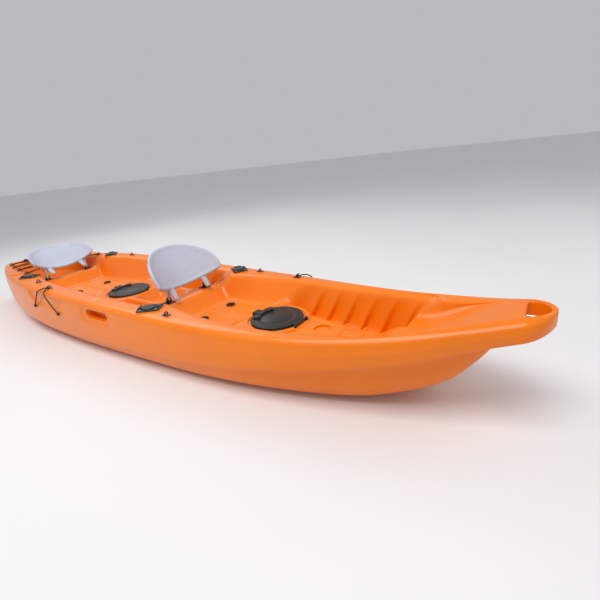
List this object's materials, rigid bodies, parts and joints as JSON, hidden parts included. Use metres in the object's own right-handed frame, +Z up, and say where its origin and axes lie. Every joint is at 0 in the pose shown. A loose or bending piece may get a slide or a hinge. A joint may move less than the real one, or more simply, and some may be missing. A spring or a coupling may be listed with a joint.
{
  "type": "tandem sit-on-top kayak",
  "caption": "Orange moulded sit-on-top kayak for two with a child seat, folding grey backrests, round hatches, capped rod holders and a laced tank well.",
  "frame": {"origin": "middle of the boat on the ground under its flat bottom", "axes": "+X to the bow, +Y to port, +Z up"},
  "size_m": [3.7, 0.7937, 0.4815],
  "materials": {
    "hull_orange": "glossy moulded polyethylene",
    "rest_grey": "light blue-grey moulded plastic, fine grain",
    "black_plastic": "black moulded plastic",
    "black_rubber": "black rubber",
    "bucket_grey": "dark grey moulded plastic",
    "stainless": "stainless steel",
    "cord_black": "braided elastic cord",
    "foam_white": "closed-cell foam",
    "tan_plate": "tan plastic sheet"
  },
  "bodies": {
    "hull": {"deck": "hull_orange", "lower_hull": "hull_orange", "rear_hatch_ring": "black_plastic", "rear_hatch_gasket": "black_rubber", "rear_hatch_hinge_pin": "stainless", "rear_hatch_bucket": "bucket_grey", "front_hatch_ring": "black_plastic", "front_hatch_gasket": "black_rubber", "front_hatch_hinge_pin": "stainless", "front_hatch_bucket": "bucket_grey", "hatch_ring_screws": "stainless", "rear_port_rod_holder": "black_plastic", "rear_starboard_rod_holder": "black_plastic", "front_port_rod_holder": "black_plastic", "front_starboard_rod_holder": "black_plastic", "rod_holder_screws": "stainless", "rear_backrest_brackets": "black_plastic", "rear_backrest_pins": "stainless", "front_backrest_brackets": "black_plastic", "front_backrest_pins": "stainless", "bracket_screws": "stainless", "drain_socket": "black_plastic", "drain_screws": "stainless", "tankwell_pad_eyes": "black_plastic", "seat_strap_eyes": "black_plastic", "eye_screws": "stainless", "tankwell_bungee": "cord_black", "bungee_tie_plate": "tan_plate", "starboard_paddle_bungee": "cord_black", "port_paddle_bungee": "cord_black", "paddle_eyelets": "black_plastic", "paddle_hooks": "black_plastic", "front_foam_pillar": "foam_white", "rear_foam_pillar": "foam_white", "bow_handle_bar": "stainless"},
    "rear_hatch_lid": {"rear_hatch_lid": "black_plastic"},
    "rear_hatch_latch": {"rear_hatch_latch": "black_plastic"},
    "front_hatch_lid": {"front_hatch_lid": "black_plastic"},
    "front_hatch_latch": {"front_hatch_latch": "black_plastic"},
    "rear_port_rod_cap": {"rear_port_rod_cap": "black_plastic"},
    "rear_starboard_rod_cap": {"rear_starboard_rod_cap": "black_plastic"},
    "front_port_rod_cap": {"front_port_rod_cap": "black_plastic"},
    "front_starboard_rod_cap": {"front_starboard_rod_cap": "black_plastic"},
    "rear_backrest": {"rear_backrest": "rest_grey"},
    "front_backrest": {"front_backrest": "rest_grey"},
    "rear_seat_port_plug": {"rear_seat_port_plug": "black_rubber"},
    "rear_seat_starboard_plug": {"rear_seat_starboard_plug": "black_rubber"},
    "rear_footwell_port_plug": {"rear_footwell_port_plug": "black_rubber"},
    "rear_footwell_starboard_plug": {"rear_footwell_starboard_plug": "black_rubber"},
    "front_seat_port_plug": {"front_seat_port_plug": "black_rubber"},
    "front_seat_starboard_plug": {"front_seat_starboard_plug": "black_rubber"},
    "front_footwell_port_plug": {"front_footwell_port_plug": "black_rubber"},
    "front_footwell_starboard_plug": {"front_footwell_starboard_plug": "black_rubber"},
    "drain_plug": {"drain_plug": "black_plastic"}
  },
  "joints": [
    {"name": "rear_hatch_hinge", "type": "hinge", "parent": "hull", "child": "rear_hatch_lid", "pos_m": [-0.164, 0, 0.1893], "axis": [0, 1, 0], "range_deg": [0, 110]},
    {"name": "rear_hatch_latch_hinge", "type": "hinge", "parent": "rear_hatch_lid", "child": "rear_hatch_latch", "pos_m": [-0.365, 0, 0.1975], "axis": [0, 1, 0], "range_deg": [0, 75]},
    {"name": "front_hatch_hinge", "type": "hinge", "parent": "hull", "child": "front_hatch_lid", "pos_m": [0.975, 0, 0.1893], "axis": [0, 1, 0], "range_deg": [0, 110]},
    {"name": "front_hatch_latch_hinge", "type": "hinge", "parent": "front_hatch_lid", "child": "front_hatch_latch", "pos_m": [0.774, 0, 0.1975], "axis": [0, 1, 0], "range_deg": [0, 75]},
    {"name": "rear_port_rod_cap_hinge", "type": "hinge", "parent": "hull", "child": "rear_port_rod_cap", "pos_m": [-0.93604, 0.29924, 0.31211], "axis": [-0.5736, -0.8192, 0], "range_deg": [0, 150]},
    {"name": "rear_starboard_rod_cap_hinge", "type": "hinge", "parent": "hull", "child": "rear_starboard_rod_cap", "pos_m": [-0.93604, -0.29924, 0.31211], "axis": [0.5736, -0.8192, 0], "range_deg": [0, 150]},
    {"name": "front_port_rod_cap_hinge", "type": "hinge", "parent": "hull", "child": "front_port_rod_cap", "pos_m": [0.33896, 0.31824, 0.28802], "axis": [-0.5736, -0.8192, 0], "range_deg": [0, 150]},
    {"name": "front_starboard_rod_cap_hinge", "type": "hinge", "parent": "hull", "child": "front_starboard_rod_cap", "pos_m": [0.33896, -0.31824, 0.28802], "axis": [0.5736, -0.8192, 0], "range_deg": [0, 150]},
    {"name": "rear_backrest_hinge", "type": "hinge", "parent": "hull", "child": "rear_backrest", "pos_m": [-1.032, 0, 0.243], "axis": [0, -1, 0], "range_deg": [-46, 0]},
    {"name": "front_backrest_hinge", "type": "hinge", "parent": "hull", "child": "front_backrest", "pos_m": [0.265, 0, 0.243], "axis": [0, -1, 0], "range_deg": [-24, 43]},
    {"name": "rear_seat_port_plug_pull", "type": "slide", "parent": "hull", "child": "rear_seat_port_plug", "axis": [0, 0, 1], "range_m": [0, 0.06]},
    {"name": "rear_seat_starboard_plug_pull", "type": "slide", "parent": "hull", "child": "rear_seat_starboard_plug", "axis": [0, 0, 1], "range_m": [0, 0.06]},
    {"name": "rear_footwell_port_plug_pull", "type": "slide", "parent": "hull", "child": "rear_footwell_port_plug", "axis": [0, 0, 1], "range_m": [0, 0.06]},
    {"name": "rear_footwell_starboard_plug_pull", "type": "slide", "parent": "hull", "child": "rear_footwell_starboard_plug", "axis": [0, 0, 1], "range_m": [0, 0.06]},
    {"name": "front_seat_port_plug_pull", "type": "slide", "parent": "hull", "child": "front_seat_port_plug", "axis": [0, 0, 1], "range_m": [0, 0.06]},
    {"name": "front_seat_starboard_plug_pull", "type": "slide", "parent": "hull", "child": "front_seat_starboard_plug", "axis": [0, 0, 1], "range_m": [0, 0.06]},
    {"name": "front_footwell_port_plug_pull", "type": "slide", "parent": "hull", "child": "front_footwell_port_plug", "axis": [0, 0, 1], "range_m": [0, 0.06]},
    {"name": "front_footwell_starboard_plug_pull", "type": "slide", "parent": "hull", "child": "front_footwell_starboard_plug", "axis": [0, 0, 1], "range_m": [0, 0.06]},
    {"name": "drain_plug_pull", "type": "slide", "parent": "hull", "child": "drain_plug", "axis": [0, 0, 1], "range_m": [0, 0.04]}
  ]
}
